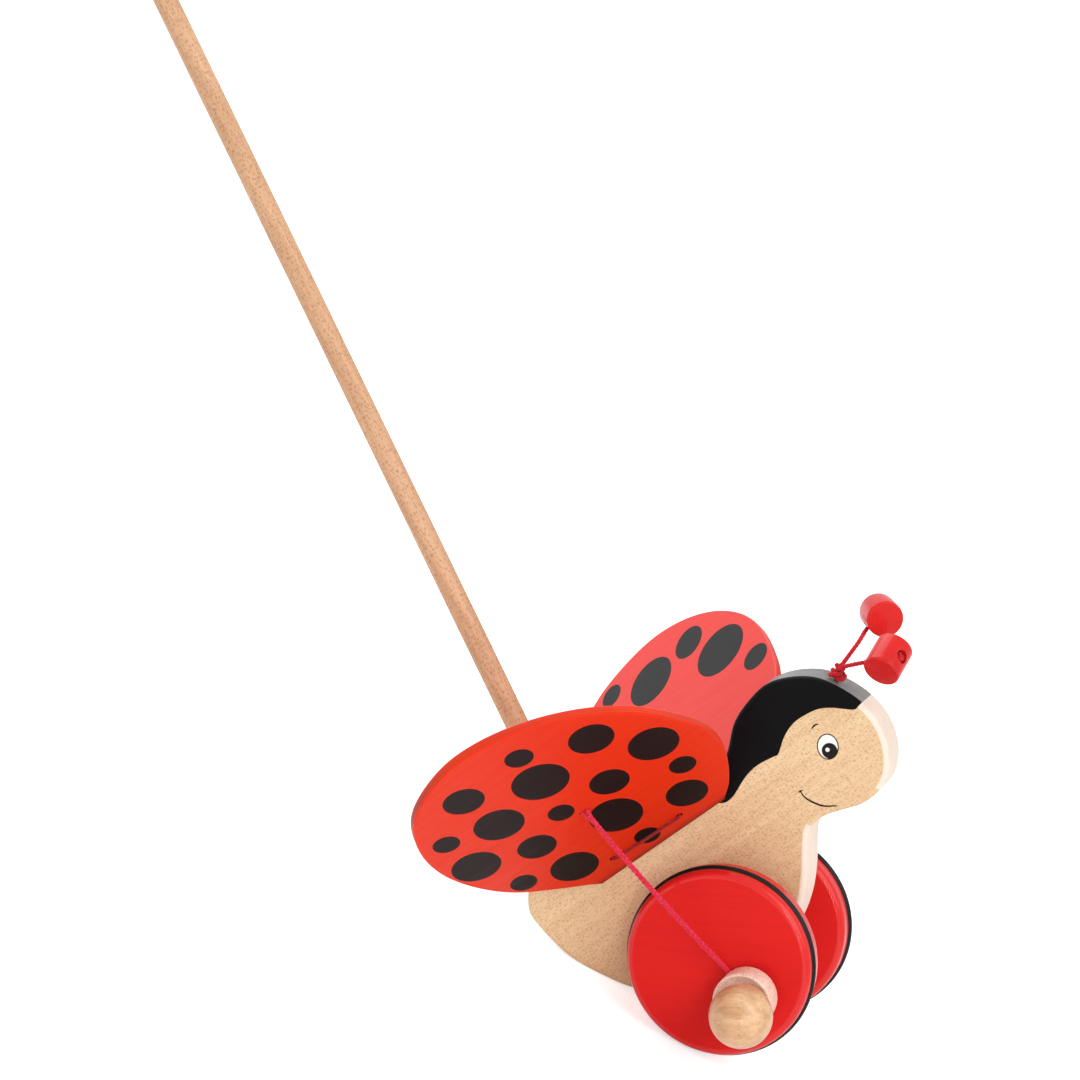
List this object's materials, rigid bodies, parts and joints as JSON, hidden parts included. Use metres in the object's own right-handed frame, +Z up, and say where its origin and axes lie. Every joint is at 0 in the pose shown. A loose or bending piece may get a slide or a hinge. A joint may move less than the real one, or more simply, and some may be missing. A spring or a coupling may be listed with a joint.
{
  "type": "toddler push toy",
  "caption": "Wooden ladybird push toy on a long stick: red wheels with rubber rings and crank spools pull cords that flap the cord-hinged spotted wings.",
  "frame": {"origin": "on the floor, under the middle of the toy's bounding box, with the toy standing by itself on its wheels and the back corner of its body", "axes": "+X forwards, the way the face looks and the toy rolls; +Y to the toy's left; +Z up. The axle lies along Y and the push stick leans back towards -X"},
  "size_m": [0.4836, 0.2794, 0.3349],
  "materials": {
    "beech_body": "satin, ink-printed head",
    "beech_stick": "fine sanded",
    "beech_ball": "fine sanded",
    "beech_spool": "fine sanded",
    "red_wheel_lacquer": "gloss lacquer",
    "red_wing_lacquer": "gloss lacquer with printed spots",
    "red_bead_lacquer": "gloss lacquer",
    "black_ring": "matt",
    "red_cord": "braided"
  },
  "bodies": {
    "frame": {"body": "beech_body", "push_stick": "beech_stick", "hinge_cord_rear_core": "red_cord", "hinge_cord_front_core": "red_cord", "antenna_knot": "red_cord", "right_pull_cord": "red_cord", "left_pull_cord": "red_cord"},
    "wheelset": {"axle": "beech_stick", "right_wheel": "red_wheel_lacquer", "right_tyre_ring": "black_ring", "right_axle_spacer": "beech_ball", "right_crank_pin": "beech_stick", "right_crank_ball": "beech_ball", "left_wheel": "red_wheel_lacquer", "left_tyre_ring": "black_ring", "left_axle_spacer": "beech_ball", "left_crank_pin": "beech_stick", "left_crank_ball": "beech_ball"},
    "right_spool": {"right_crank_spool": "beech_spool"},
    "left_spool": {"left_crank_spool": "beech_spool"},
    "right_wing_panel": {"right_wing": "red_wing_lacquer", "right_hinge_cord": "red_cord", "right_pull_stitch": "red_cord"},
    "left_wing_panel": {"left_wing": "red_wing_lacquer", "left_hinge_cord": "red_cord", "left_pull_stitch": "red_cord"},
    "right_antenna": {"right_antenna_cord": "red_cord", "right_antenna_bead": "red_bead_lacquer"},
    "left_antenna": {"left_antenna_cord": "red_cord", "left_antenna_bead": "red_bead_lacquer"}
  },
  "joints": [
    {"name": "wheelset_spin", "type": "hinge", "parent": "frame", "child": "wheelset", "pos_m": [0.20167, 0, 0.0402], "axis": [0, 1, 0], "continuous": true, "deforming": ["right_pull_cord", "left_pull_cord"]},
    {"name": "right_spool_turn", "type": "hinge", "parent": "wheelset", "child": "right_spool", "pos_m": [0.2192, 0, 0.03613], "axis": [0, 1, 0], "continuous": true},
    {"name": "left_spool_turn", "type": "hinge", "parent": "wheelset", "child": "left_spool", "pos_m": [0.2192, 0, 0.03613], "axis": [0, 1, 0], "continuous": true},
    {"name": "right_wing_flap", "type": "hinge", "parent": "frame", "child": "right_wing_panel", "pos_m": [0.15433, -0.0113, 0.07595], "axis": [-0.483, 0, -0.8756], "range_deg": [0, 42], "deforming": ["right_pull_cord"]},
    {"name": "left_wing_flap", "type": "hinge", "parent": "frame", "child": "left_wing_panel", "pos_m": [0.15433, 0.0113, 0.07595], "axis": [0.483, 0, 0.8756], "range_deg": [0, 42], "deforming": ["left_pull_cord"]},
    {"name": "right_antenna_sway", "type": "hinge", "parent": "frame", "child": "right_antenna", "pos_m": [0.19124, -0.0025, 0.1664], "axis": [0, 1, 0], "range_deg": [-20, 20], "stiffness_Nm_per_rad": 0.02, "deforming": ["right_antenna_cord"]},
    {"name": "left_antenna_sway", "type": "hinge", "parent": "frame", "child": "left_antenna", "pos_m": [0.19124, -0.0025, 0.1664], "axis": [0, 1, 0], "range_deg": [-20, 20], "stiffness_Nm_per_rad": 0.02, "deforming": ["left_antenna_cord"]}
  ]
}
